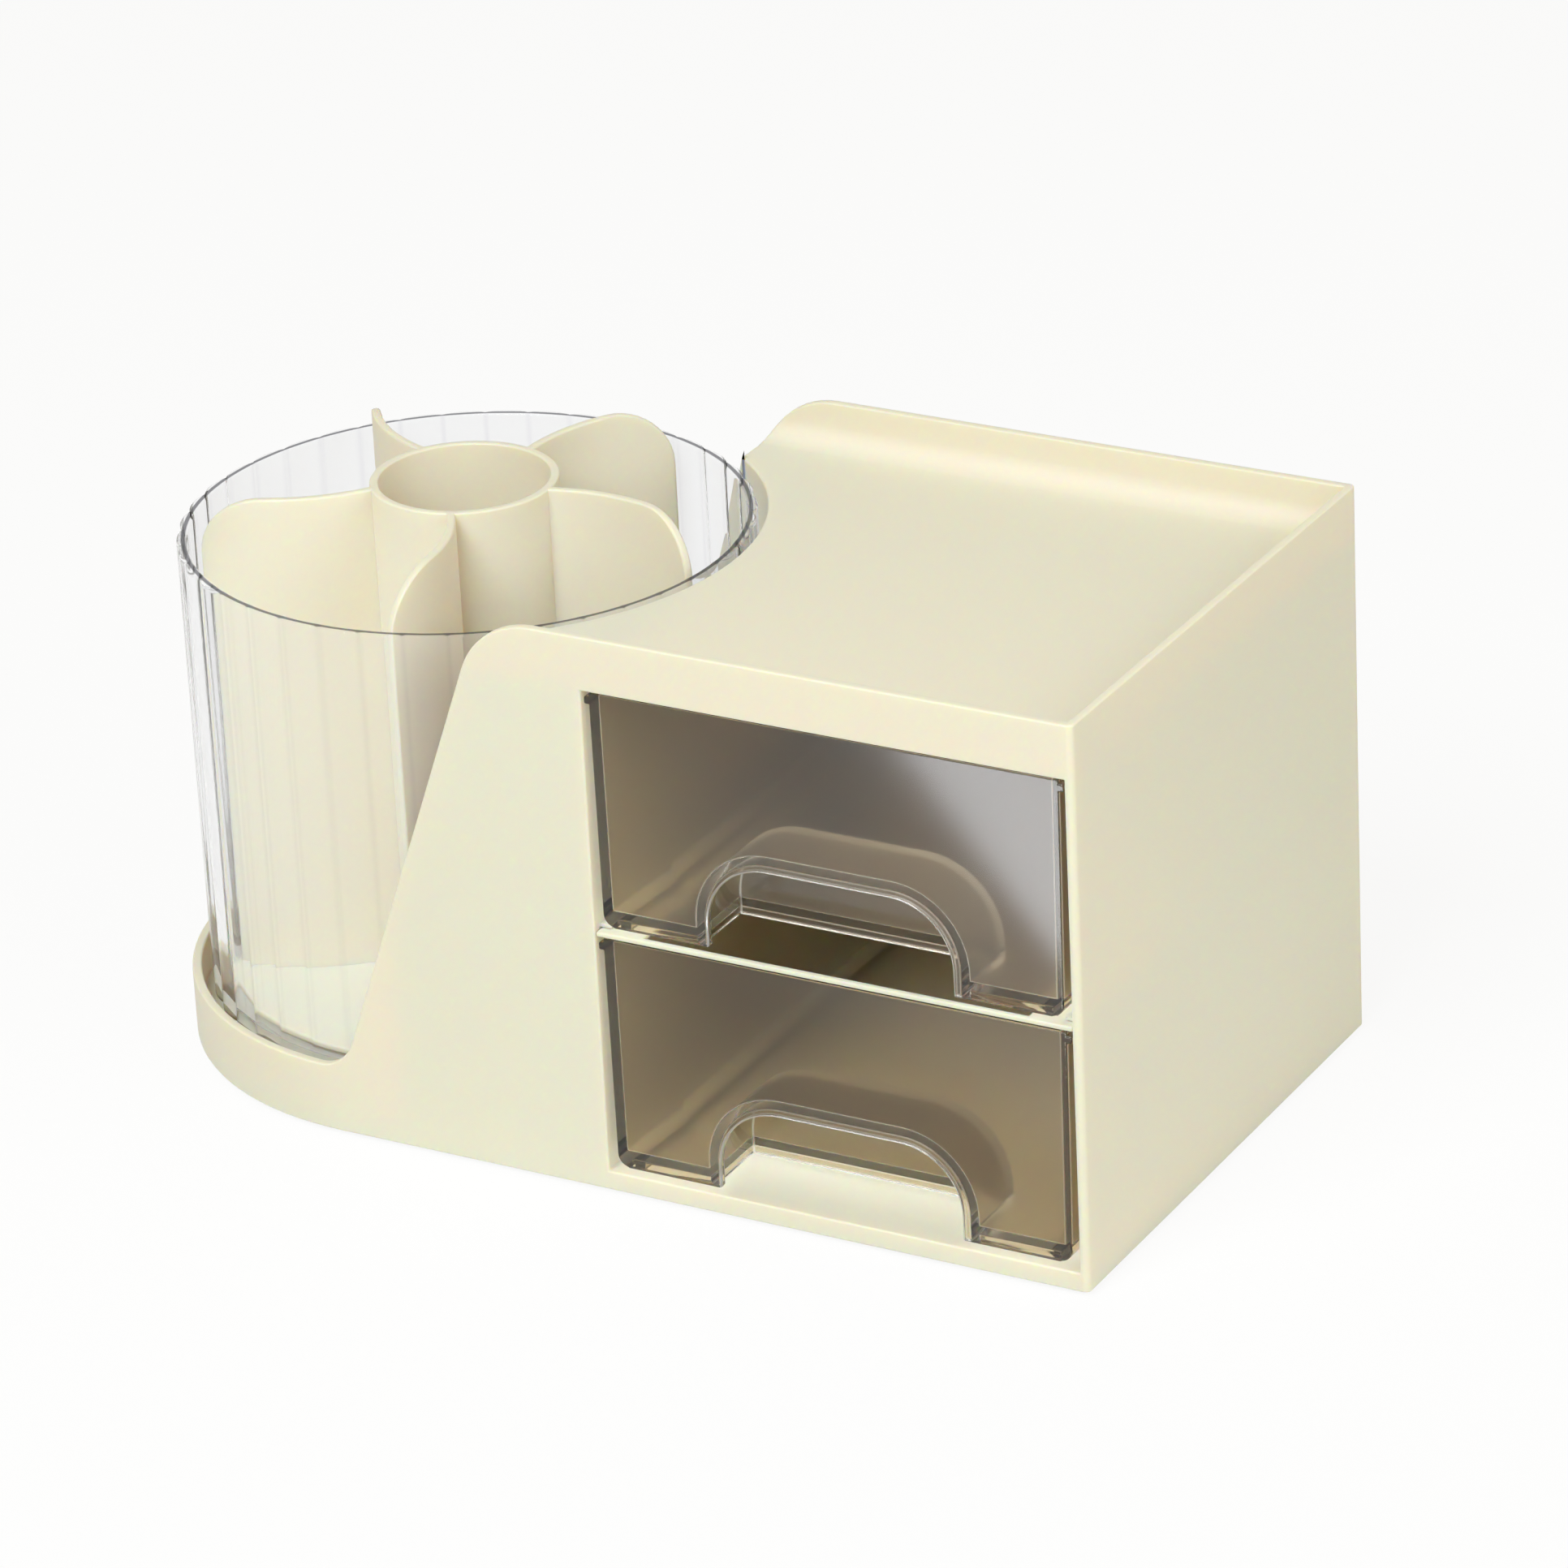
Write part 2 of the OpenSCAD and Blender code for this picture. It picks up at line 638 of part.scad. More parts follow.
// What bounds the blades: the tube's top, a round shoulder, the tips and the floor
module blade_bound() rotate_extrude() {
    flat_r = blade_r - blade_shoulder_r;
    height = divider_top_z - divider_z;
    square([blade_r, height - blade_shoulder_r]);
    square([flat_r, height]);
    intersection() {
        translate([flat_r, height - blade_shoulder_r]) circle(blade_shoulder_r);
        square([blade_r, height]);
    }
}

// The cream divider that stands in the cup and lifts out
module brush_divider() color(cream) translate([axis_x, 0, divider_z]) {
    height = divider_top_z - divider_z;
    difference() {
        union() {
            cylinder(r = blade_r, h = divider_floor_t);
            cylinder(r = tube_r, h = height);
            intersection() {
                linear_extrude(height)
                    for (k = [0 : blade_n - 1]) rotate(divider_turn + k * 360 / blade_n) blade_plan();
                blade_bound();
            }
        }
        translate([0, 0, divider_floor_t]) cylinder(r = tube_r - tube_wall, h = height);
    }
}

housing();
base_plate();
base_screws();
rubber_feet();
divider_frame();
upper_drawer();
lower_drawer();
ball_cage();
bearing_balls();
turntable();
hub_washer();
hub_screw();
cup_screws();
fluted_cup();
brush_divider();
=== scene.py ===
import math

import bmesh
import bpy
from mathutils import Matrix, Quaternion, Vector
from mathutils.bvhtree import BVHTree


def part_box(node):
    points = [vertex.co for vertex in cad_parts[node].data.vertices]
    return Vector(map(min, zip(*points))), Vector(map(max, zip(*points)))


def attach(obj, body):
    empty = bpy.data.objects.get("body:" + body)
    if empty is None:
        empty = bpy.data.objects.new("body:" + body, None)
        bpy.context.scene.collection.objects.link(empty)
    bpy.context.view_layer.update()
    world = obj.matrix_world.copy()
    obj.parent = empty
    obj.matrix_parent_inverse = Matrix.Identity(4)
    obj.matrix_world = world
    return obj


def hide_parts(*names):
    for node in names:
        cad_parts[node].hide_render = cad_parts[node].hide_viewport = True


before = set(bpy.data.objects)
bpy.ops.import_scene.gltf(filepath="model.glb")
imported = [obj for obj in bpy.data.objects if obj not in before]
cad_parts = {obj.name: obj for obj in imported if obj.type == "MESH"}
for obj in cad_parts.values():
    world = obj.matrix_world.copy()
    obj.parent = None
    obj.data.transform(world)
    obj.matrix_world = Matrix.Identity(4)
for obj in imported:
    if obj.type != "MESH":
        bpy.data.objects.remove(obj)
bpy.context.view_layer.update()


# Housing: the cream body, one injection moulding in ABS with a satin face. It holds the
# round tray, both wings, the drawer bay and the shallow tray on top, and the mould leaves
# a small radius on every edge that a hand can reach.
class Wire:
    """An output of a node: arithmetic on it adds Math nodes, and add() adds any other node."""

    def __init__(self, tree, socket=None):
        self.tree = tree
        self.socket = socket

    def add(self, kind, settings, values, output=0):
        node = self.tree.nodes.new(kind)
        for name, value in settings.items():
            setattr(node, name, value)
        for name, value in values.items():
            links = value if isinstance(value, list) else [value]
            for link in links:
                if isinstance(link, Wire):
                    self.tree.links.new(link.socket, node.inputs[name])
                else:
                    node.inputs[name].default_value = link
        return Wire(self.tree, node.outputs[output])

    def math(self, operation, first, second=0.0):
        return self.add("ShaderNodeMath", {"operation": operation}, {0: first, 1: second})

    def mix(self, low, high):
        """The colour that goes from low to high as this value goes from 0 to 1."""
        return self.add("ShaderNodeMix", {"data_type": "RGBA"}, {0: self, 6: low, 7: high}, 2)

    def ramp(self, start, end):
        """This value's way from start to end, as 0 to 1."""
        values = {"Value": self, "From Min": start, "From Max": end}
        return self.add("ShaderNodeMapRange", {"interpolation_type": "SMOOTHSTEP"}, values)

    def __add__(self, other):
        return self.math("ADD", self, other)

    def __sub__(self, other):
        return self.math("SUBTRACT", self, other)

    def __rsub__(self, other):
        return self.math("SUBTRACT", other, self)

    def __mul__(self, other):
        return self.math("MULTIPLY", self, other)

    def __truediv__(self, other):
        return self.math("DIVIDE", self, other)

    def __rtruediv__(self, other):
        return self.math("DIVIDE", other, self)

    __radd__ = __add__
    __rmul__ = __mul__


def finish(name, values, build=None):
    """A material with these values on its shader's sockets, and what build links to them."""
    material = bpy.data.materials.new(name)
    material.use_nodes = True
    tree = material.node_tree
    shader = tree.nodes["Principled BSDF"]
    for socket, value in values.items():
        shader.inputs[socket].default_value = value
    if build:
        place = Wire(tree).add("ShaderNodeTexCoord", {}, {}, "Object")
        for socket, link in build(place).items():
            tree.links.new(link.socket, shader.inputs[socket])
    return material


def noise(place, scale, detail=2.0):
    return place.add("ShaderNodeTexNoise", {}, {"Vector": place, "Scale": scale, "Detail": detail})


def relief(height, depth, strength=1.0):
    return height.add("ShaderNodeBump", {}, {"Height": height, "Distance": depth, "Strength": strength})


def satin_cream(place):
    """Cream ABS: a fine spark-eroded grain, with faint clouds of colour and of gloss."""
    cloud = noise(place, 14.0)
    grain = noise(place, 1800.0, 3.0)
    return {
        "Base Color": cloud.mix((0.845, 0.785, 0.65, 1.0), (0.865, 0.805, 0.675, 1.0)),
        "Roughness": 0.4 + 0.08 * cloud + 0.05 * grain,
        "Normal": relief(grain, 0.00001, 0.5),
    }


# Light runs a little way through the plastic, red furthest, so thin walls glow golden in shade.
cream = finish("satin_cream", {
    "Specular IOR Level": 0.4, "Subsurface Weight": 0.8, "Subsurface Scale": 0.004,
    "Subsurface Radius": (1.0, 0.55, 0.15)}, satin_cream)


def eased(node, name, radius, material, hidden=None, wide=None, wide_radius=None):
    """A copy of a solid with its sharp edges rounded: more where wide() says so, and none if hidden().

    The faces of the rounding have 1 in the attribute "edge", and all others 0.
    """
    shape = bmesh.new()
    shape.from_mesh(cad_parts[node].data)
    seam = 0.00002
    bmesh.ops.remove_doubles(shape, verts=shape.verts, dist=seam)
    bmesh.ops.dissolve_degenerate(shape, edges=shape.edges, dist=seam)
    flat = math.radians(0.5)
    bmesh.ops.dissolve_limit(shape, angle_limit=flat, verts=shape.verts, edges=shape.edges)
    sharp = math.radians(35)
    widest = wide_radius or radius
    weight = shape.edges.layers.float.new("bevel_weight_edge")
    for edge in shape.edges:
        edge.smooth = edge.calc_face_angle(0) <= sharp
        if not edge.smooth and not (hidden and any(hidden(v.co) for v in edge.verts)):
            edge.smooth = True
            edge[weight] = 1.0 if wide and all(wide(v.co) for v in edge.verts) else radius / widest
    for face in shape.faces:
        face.smooth = True
    mesh = bpy.data.meshes.new(name)
    shape.to_mesh(mesh)
    shape.free()
    mesh.materials.clear()
    mesh.materials.append(material)
    mesh.materials.append(material)
    piece = bpy.data.objects.new(name, mesh)
    bpy.context.scene.collection.objects.link(piece)
    rounding = piece.modifiers.new("mould radius", "BEVEL")
    rounding.material = 1
    rounding.limit_method = "WEIGHT"
    rounding.width = widest
    rounding.segments = 4
    rounding.use_clamp_overlap = False
    level = piece.modifiers.new("flat faces stay flat", "WEIGHTED_NORMAL")
    level.weight = 100
    level.keep_sharp = True
    graph = bpy.context.evaluated_depsgraph_get()
    piece.data = bpy.data.meshes.new_from_object(piece.evaluated_get(graph))
    piece.modifiers.clear()
    low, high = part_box(node)
    for vert in piece.data.vertices:  # the rounding may pass the solid's box by a hair
        vert.co = [min(max(vert.co[k], low[k]), high[k]) for k in range(3)]
    edge = piece.data.attributes.new("edge", "FLOAT", "FACE")
    for face, mark in zip(piece.data.polygons, edge.data):
        mark.value = face.material_index
        face.material_index = 0
    piece.data.materials.pop(index=1)
    return piece


tray_low, tray_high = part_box("turntable")
axis_x = (tray_low.x + tray_high.x) / 2
tray_floor = 0.0085
tray_r = 0.0675
underside = (0.0011, 0.0055)
shelf_low, shelf_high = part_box("divider_frame")
rib_reach = 0.0011


def in_tray_or_under(place):
    """True on what other pieces cover: the ball track, the post, the bosses and the shelf's ribs."""
    away = math.hypot(place.x - axis_x, place.y)
    on_rib = place.x > axis_x + tray_r and shelf_low.z - rib_reach < place.z < shelf_high.z + rib_reach
    return on_rib or underside[0] < place.z < underside[1] or (place.z < tray_floor and away < tray_r)


body_edge = 0.0005
housing = eased("housing", "body_shell", body_edge, cream, in_tray_or_under)
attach(housing, "body")
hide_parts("housing")


# Ball cage: a thin ring stamped from natural nylon sheet, loose in the track, which keeps
# the balls evenly apart as they roll.
def waxy_nylon(place):
    cloud = noise(place, 60.0)
    return {
        "Base Color": cloud.mix((0.80, 0.79, 0.73, 1.0), (0.86, 0.85, 0.80, 1.0)),
        "Roughness": 0.45 + 0.15 * cloud,
    }


nylon = finish("natural_nylon", {"Subsurface Weight": 0.1}, waxy_nylon)
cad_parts["ball_cage"].data.materials.clear()
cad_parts["ball_cage"].data.materials.append(nylon)


# Bearing balls: polished steel balls that run in a track in the tray and in a matching
# track under the turntable, so that the cup turns at a touch.
same_point = 1e-6


def geometry_tree(name, numbers):
    """A tree with a geometry input and number inputs, and the wires of its inputs."""
    tree = bpy.data.node_groups.new(name, "GeometryNodeTree")
    tree.interface.new_socket("Geometry", in_out="INPUT", socket_type="NodeSocketGeometry")
    for label, value in numbers.items():
        kind = "NodeSocketInt" if isinstance(value, int) else "NodeSocketFloat"
        tree.interface.new_socket(label, in_out="INPUT", socket_type=kind)
    tree.interface.new_socket("Geometry", in_out="OUTPUT", socket_type="NodeSocketGeometry")
    source = tree.nodes.new("NodeGroupInput")
    return tree, {socket.name: Wire(tree, socket) for socket in source.outputs if socket.name}


def end_tree(result, material):
    """Realizes what a tree has placed, gives it its material and sends it out."""
    whole = result.add("GeometryNodeRealizeInstances", {}, {"Geometry": result})
    dressed = result.add("GeometryNodeSetMaterial", {}, {"Geometry": whole, "Material": material})
    output = result.tree.nodes.new("NodeGroupOutput")
    result.tree.links.new(dressed.socket, output.inputs["Geometry"])


def grown(name, points, edges, tree, numbers):
    """The plain mesh that a tree makes from points and edges, as a piece at the origin."""
    mesh = bpy.data.meshes.new(name)
    mesh.from_pydata(points, edges, [])
    piece = bpy.data.objects.new(name, mesh)
    bpy.context.scene.collection.objects.link(piece)
    modifier = piece.modifiers.new(tree.name, "NODES")
    modifier.node_group = tree
    for item in tree.interface.items_tree:
        if item.in_out == "INPUT" and item.name in numbers:
            modifier[item.identifier] = numbers[item.name]
    graph = bpy.context.evaluated_depsgraph_get()
    made = bpy.data.meshes.new_from_object(piece.evaluated_get(graph))
    piece.modifiers.remove(modifier)
    shape = bmesh.new()
    shape.from_mesh(made)
    bmesh.ops.remove_doubles(shape, verts=shape.verts, dist=same_point)
    bmesh.ops.recalc_face_normals(shape, faces=shape.faces)
    shape.to_mesh(made)
    shape.free()
    made.shade_smooth()
    crease = math.radians(30)
    made.set_sharp_from_angle(angle=crease)
    piece.data = made
    return piece


def solids_of(node):
    """The lowest and highest corner of each separate solid of a node."""
    shape = bmesh.new()
    shape.from_mesh(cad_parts[node].data)
    bmesh.ops.remove_doubles(shape, verts=shape.verts, dist=same_point)
    left = set(shape.verts)
    boxes = []
    while left:
        group = [left.pop()]
        for vert in group:
            near = {edge.other_vert(vert) for edge in vert.link_edges} & left
            left -= near
            group.extend(near)
        places = [vert.co.copy() for vert in group]
        boxes.append(tuple(Vector(map(pick, zip(*places))) for pick in (min, max)))
    shape.free()
    return boxes


def polished(place):
    smear = noise(place, 400.0)
    return {"Roughness": 0.05 + 0.1 * smear}


ball_steel = finish("polished_steel", {"Base Color": (0.62, 0.63, 0.65, 1.0), "Metallic": 1.0}, polished)
ball_boxes = solids_of("bearing_balls")
ball_numbers = {"Radius": (ball_boxes[0][1].z - ball_boxes[0][0].z) / 2, "Rings": 16}
tree, wires = geometry_tree("balls_in_a_track", ball_numbers)
ball = wires["Radius"].add("GeometryNodeMeshUVSphere", {}, {
    "Segments": wires["Rings"] * 2, "Rings": wires["Rings"], "Radius": wires["Radius"]})
end_tree(ball.add("GeometryNodeInstanceOnPoints", {}, {
    "Points": wires["Geometry"], "Instance": ball}), ball_steel)
ball_places = [(low + high) / 2 for low, high in ball_boxes]
balls = grown("steel_balls", ball_places, [], tree, ball_numbers)
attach(balls, "bearing")
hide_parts("bearing_balls")


# Turntable: a moulded disc in the same cream ABS, with the upper ball track under it and a
# sunk hub round the pivot post.
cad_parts["turntable"].data.materials.clear()
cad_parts["turntable"].data.materials.append(cream)


# Hub washer and hub screw: zinc-plated steel. The washer overlaps the hub, and the screw
# holds it on the post, so the turntable can't lift off its balls.
def zinc(place):
    cloud = noise(place, 300.0, 4.0)
    return {
        "Base Color": cloud.mix((0.50, 0.51, 0.52, 1.0), (0.60, 0.60, 0.58, 1.0)),
        "Roughness": 0.25 + 0.2 * cloud,
    }


screw_steel = finish("zinc_plate", {"Metallic": 1.0}, zinc)
for name in ("hub_washer", "hub_screw"):
    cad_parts[name].data.materials.clear()
    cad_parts[name].data.materials.append(screw_steel)


# Fluted cup: injection moulded in clear polystyrene with a cool tint. Rounded flutes run up
# its outside, its inside is plain, and three screws hold its floor to the turntable.
def clear_styrene(place):
    """Clear plastic, with painted shade in its flute valleys, a painted dark rim line and a painted foot
    shadow.
    """
    # The valley colour is painted shade: each flute valley is coloured darker and cooler, standing in for
    # a shaded line.
    wall_tint, painted_valley_shade = (0.965, 0.97, 0.985, 1.0), (0.91, 0.91, 0.94, 1.0)
    # The rim colour is a painted dark line: the top of the rim is coloured near-black, standing in for
    # the clear wall seen end-on.
    painted_rim_line, painted_foot_shadow = (0.08, 0.08, 0.09, 1.0), (0.22, 0.17, 0.09, 1.0)
    line_start, line_end = cup_inner_r + 0.0003, cup_inner_r + 0.0016
    line_blur = 0.0003
    rim_start, rim_full = rim_z - 0.0011, rim_z - 0.0005
    foot_start, foot_full = base_z + 0.0014, base_z + 0.0006
    across = place.add("ShaderNodeSeparateXYZ", {}, {"Vector": place}, "X") - axis_x
    along = place.add("ShaderNodeSeparateXYZ", {}, {"Vector": place}, "Y")
    height = place.add("ShaderNodeSeparateXYZ", {}, {"Vector": place}, "Z")
    away = place.math("SQRT", across * across + along * along)
    turn = place.math("ARCTAN2", along, across) / (2 * math.pi) * flutes["Flutes"]
    off_crest = place.math("ABSOLUTE", place.math("FRACT", turn) - 0.5)
    valley = off_crest.ramp(0.4, 0.5)
    outer = away.ramp(line_start, line_start + line_blur)
    ring = outer * away.ramp(line_end, line_end - line_blur)
    rim = ring * height.ramp(rim_start, rim_full)
    # Painted shadow: the outer foot of the cup is coloured dark brown where it stands in the tray.
    foot = outer * height.ramp(foot_start, foot_full)
    wall = valley.mix(wall_tint, painted_valley_shade)
    return {"Base Color": foot.mix(rim.mix(wall, painted_rim_line), painted_foot_shadow)}


cup_low, cup_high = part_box("fluted_cup")
base_z, rim_z = cup_low.z, cup_high.z
cup_r = 0.0655
cup_inner_r = 0.063
cup_floor = 0.0022
hub_hole_r = 0.0106
flutes = {"Flutes": 40, "Steps": 10, "Crest radius": 0.012, "Cup radius": cup_r, "Axis": axis_x}


def arc(centre_r, centre_z, radius, start, end):
    """Points of a section from one angle to another, in degrees, round a centre."""
    steps = 4
    turns = [math.radians(start + (end - start) * k / steps) for k in range(steps + 1)]
    return [(centre_r + radius * math.cos(a), 0.0, centre_z + radius * math.sin(a)) for a in turns]


def loop_edges(points):
    return [(k, (k + 1) % len(points)) for k in range(len(points))]


rim_edge = 0.0006
floor_edge = 0.0008
floor_top = base_z + cup_floor
cup_section = [
    (hub_hole_r, 0.0, base_z),
    (hub_hole_r, 0.0, floor_top),
    *arc(cup_inner_r - floor_edge, floor_top + floor_edge, floor_edge, 270, 360),
    *arc(cup_inner_r + rim_edge, rim_z - rim_edge, rim_edge, 180, 90),
    *arc(cup_r - rim_edge, rim_z - rim_edge, rim_edge, 90, 0),
    *arc(cup_r - rim_edge, base_z + rim_edge, rim_edge, 0, -90),
]


def turned(wires, steps, centre):
    """A section drawn in X and Z, swept round an upright axis: the wire of the round solid."""
    section = wires["Geometry"]
    spot = section.add("GeometryNodeInputPosition", {}, {})
    away = spot.add("ShaderNodeSeparateXYZ", {}, {"Vector": spot}, "X")
    up = spot.add("ShaderNodeSeparateXYZ", {}, {"Vector": spot}, "Z")
    laid = spot.add("ShaderNodeCombineXYZ", {}, {"X": away - 1.0, "Y": up * -1.0})
    profile = section.add("GeometryNodeMeshToCurve", {}, {"Mesh": section})
    profile = section.add("GeometryNodeSetPosition", {}, {"Geometry": profile, "Position": laid})
    ring = section.add("GeometryNodeCurvePrimitiveCircle", {}, {"Resolution": steps, "Radius": 1.0})
    swept = section.add("GeometryNodeCurveToMesh", {}, {"Curve": ring, "Profile Curve": profile})
    shift = spot.add("ShaderNodeCombineXYZ", {}, {"X": centre})
    return section.add("GeometryNodeTransform", {}, {"Geometry": swept, "Translation": shift})


tree, wires = geometry_tree("fluted_round", flutes)
plain = turned(wires, wires["Flutes"] * wires["Steps"], wires["Axis"])
spot = plain.add("GeometryNodeInputPosition", {}, {})
across = spot.add("ShaderNodeSeparateXYZ", {}, {"Vector": spot}, "X") - wires["Axis"]
along = spot.add("ShaderNodeSeparateXYZ", {}, {"Vector": spot}, "Y")
up = spot.add("ShaderNodeSeparateXYZ", {}, {"Vector": spot}, "Z")
away = plain.math("SQRT", across * across + along * along)
step = 2 * math.pi / wires["Flutes"]
turn = plain.math("ARCTAN2", along, across) / step
off_crest = (plain.math("FRACT", turn) - 0.5) * step
seat = wires["Cup radius"] - wires["Crest radius"]
side = seat * plain.math("SINE", off_crest)
crest = wires["Crest radius"]
fluted_r = seat * plain.math("COSINE", off_crest) + plain.math("SQRT", crest * crest - side * side)
outside = away.ramp(cup_inner_r, cup_r - rim_edge)
share = 1.0 + outside * (fluted_r / wires["Cup radius"] - 1.0)
pressed = plain.add("ShaderNodeCombineXYZ", {}, {
    "X": across * share + wires["Axis"], "Y": along * share, "Z": up})
shell = plain.add("GeometryNodeSetPosition", {}, {"Geometry": plain, "Position": pressed})
clear = finish("clear_styrene", {
    "Roughness": 0.03, "IOR": 1.04, "Transmission Weight": 0.92,
    "Coat Weight": 0.25, "Coat IOR": 1.5, "Coat Roughness": 0.1}, clear_styrene)
end_tree(shell, clear)
cup = grown("clear_cup", cup_section, loop_edges(cup_section), tree, flutes)
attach(cup, "carousel")
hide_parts("fluted_cup")
cup.visible_shadow = False


# Cup screws: countersunk self-tapping screws in zinc-plated steel, driven down through the
# cup's floor into the turntable.
screw = {"Head radius": 0.0028, "Head height": 0.0015, "Shank radius": 0.00145,
         "Slot width": 0.0009, "Slot depth": 0.0008}


def combined(make, operation, values):
    """The wire of meshes joined or cut with the exact solver."""
    return make("GeometryNodeMeshBoolean", {"operation": operation, "solver": "EXACT"}, values, "Mesh")


def screw_tree(name, numbers):
    """A tree that sets a countersunk screw, with its cross slot, on every point."""
    tree, wires = geometry_tree(name, numbers)
    make = wires["Geometry"].add
    move = "GeometryNodeTransform"
    sides = 32
    lowered = make("ShaderNodeCombineXYZ", {}, {"Z": wires["Head height"] * -1.0})
    cone = make("GeometryNodeMeshCone", {}, {
        "Vertices": sides, "Radius Bottom": wires["Shank radius"], "Radius Top": wires["Head radius"],
        "Depth": wires["Head height"]})
    head = make(move, {}, {"Geometry": cone, "Translation": lowered})
    under = wires["Length"] - wires["Head height"] * 0.5
    shank = make("GeometryNodeMeshCylinder", {}, {
        "Vertices": sides, "Radius": wires["Shank radius"], "Depth": under})
    middle = (wires["Length"] + wires["Head height"] * 0.5) * -0.5
    hung = make("ShaderNodeCombineXYZ", {}, {"Z": middle})
    shank = make(move, {}, {"Geometry": shank, "Translation": hung})
    body = combined(make, "UNION", {"Mesh 2": [head, shank]})
    deep = wires["Slot depth"] * 2.0
    bar = make("GeometryNodeMeshCube", {}, {"Size": make("ShaderNodeCombineXYZ", {}, {
        "X": wires["Head radius"], "Y": wires["Slot width"], "Z": deep})})
    other = make("GeometryNodeMeshCube", {}, {"Size": make("ShaderNodeCombineXYZ", {}, {
        "X": wires["Slot width"], "Y": wires["Head radius"], "Z": deep})})
    cut = combined(make, "DIFFERENCE", {"Mesh 1": body, "Mesh 2": [bar, other]})
    tilt = make("ShaderNodeCombineXYZ", {}, {"X": wires["Tilt"]})
    end_tree(make("GeometryNodeInstanceOnPoints", {}, {
        "Points": wires["Geometry"], "Instance": cut, "Rotation": tilt}), screw_steel)
    return tree


cup_screw_boxes = solids_of("cup_screws")
cup_screw = {**screw, "Length": cup_screw_boxes[0][1].z - cup_screw_boxes[0][0].z, "Tilt": 0.0}
screws_tree = screw_tree("countersunk_screws", cup_screw)
head_places = [((low.x + high.x) / 2, (low.y + high.y) / 2, high.z) for low, high in cup_screw_boxes]
cup_screws = grown("cup_floor_screws", head_places, [], screws_tree, cup_screw)
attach(cup_screws, "carousel")
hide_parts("cup_screws")


# Brush divider: moulded in the same cream ABS. A round tube and five curved blades stand on
# a thin floor, and the whole insert lifts out of the cup for cleaning.
divider_low, divider_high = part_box("brush_divider")
divider_h = divider_high.z - divider_low.z
divider_floor = 0.0016
tube_r = 0.0214
tube_wall = 0.002
blade_r = 0.0605
blade_t = 0.002
blade_shoulder = 0.014
blade_edge = 0.0006
blade_room = 0.0008
blade_heading = math.radians(13)
blade_trail = math.radians(9)
blades = {"Blades": 5, "First blade": math.radians(-67.5), "Axis": axis_x, "Base": divider_low.z,
          "Steps": 128}

chord = Vector((blade_r * math.cos(blade_trail) - tube_r, -blade_r * math.sin(blade_trail)))
swing = blade_heading - math.atan2(chord.y, chord.x)
blade_arc_r = chord.length / (2 * math.sin(swing))
blade_centre = Vector((tube_r + blade_arc_r * math.sin(blade_heading),
                       -blade_arc_r * math.cos(blade_heading)))


def blade_turn(away):
    """The angle about a blade's own centre at which the blade is this far from the axis."""
    reach = blade_centre.length
    cosine = (blade_arc_r ** 2 + reach ** 2 - away ** 2) / (2 * blade_arc_r * reach)
    return math.atan2(-blade_centre.y, -blade_centre.x) - math.acos(cosine)


def blade_mesh():
    """One blade on its curve: level along the top, a round shoulder, and an eased edge."""
    tip = blade_r - blade_room
    level_steps, shoulder_steps, edge_steps = 16, 12, 3
    quarter = math.radians(90)
    level_end = tip - blade_shoulder
    start = tube_r - tube_wall / 2
    outline = [(start + (level_end - start) * k / level_steps, divider_h) for k in range(level_steps + 1)]
    for k in range(1, shoulder_steps + 1):
        a = quarter * k / shoulder_steps
        outline.append((level_end + blade_shoulder * math.sin(a),
                        divider_h - blade_shoulder * (1 - math.cos(a))))
    sunk = divider_floor / 2
    columns = [(-blade_arc_r * blade_turn(away), high) for away, high in outline]
    path = columns + [(columns[-1][0], sunk)]
    rounding = [quarter * k / edge_steps for k in range(edge_steps + 1)]
    flat = blade_t / 2 - blade_edge
    left = [(blade_edge * (1 - math.sin(a)), -flat - blade_edge * math.cos(a)) for a in rounding]
    section = left + [(inward, -across) for inward, across in reversed(left)]

    shape = bmesh.new()

    def bent(along, across, high):
        a = -along / blade_arc_r
        r = blade_arc_r + across
        x, y = blade_centre.x + r * math.cos(a), blade_centre.y + r * math.sin(a)
        return shape.verts.new((x, y, high))

    rings = []
    for k, (along, high) in enumerate(path):
        before, after = path[max(k - 1, 0)], path[min(k + 1, len(path) - 1)]
        way = Vector((after[0] - before[0], after[1] - before[1])).normalized()
        inward = Vector((way.y, -way.x))
        rings.append([bent(along + inward.x * depth, across, high + inward.y * depth)
                      for depth, across in section])
    feet = []
    for along, high in columns:
        last = min(along, columns[-1][0] - blade_edge)
        feet.append([bent(last, section[0][1], sunk), bent(last, section[-1][1], sunk)])
    for near, far in zip(rings, rings[1:]):
        for k in range(len(section) - 1):
            shape.faces.new((near[k], near[k + 1], far[k + 1], far[k]))
    for k in range(len(columns) - 1):
        for side, top in ((0, 0), (1, -1)):
            shape.faces.new((rings[k][top], rings[k + 1][top], feet[k + 1][side], feet[k][side]))
        shape.faces.new((feet[k][0], feet[k + 1][0], feet[k + 1][1], feet[k][1]))
    for side, top in ((0, 0), (1, -1)):
        shape.faces.new((rings[-2][top], rings[-1][top], feet[-1][side]))
    shape.faces.new([feet[-1][0], *rings[-1], feet[-1][1]])
    shape.faces.new([feet[0][0], *rings[0], feet[0][1]])
    bmesh.ops.remove_doubles(shape, verts=shape.verts, dist=same_point)
    bmesh.ops.recalc_face_normals(shape, faces=shape.faces)
    mesh = bpy.data.meshes.new("divider_blade")
    shape.to_mesh(mesh)
    shape.free()
    return bpy.data.objects.new("divider_blade", mesh)


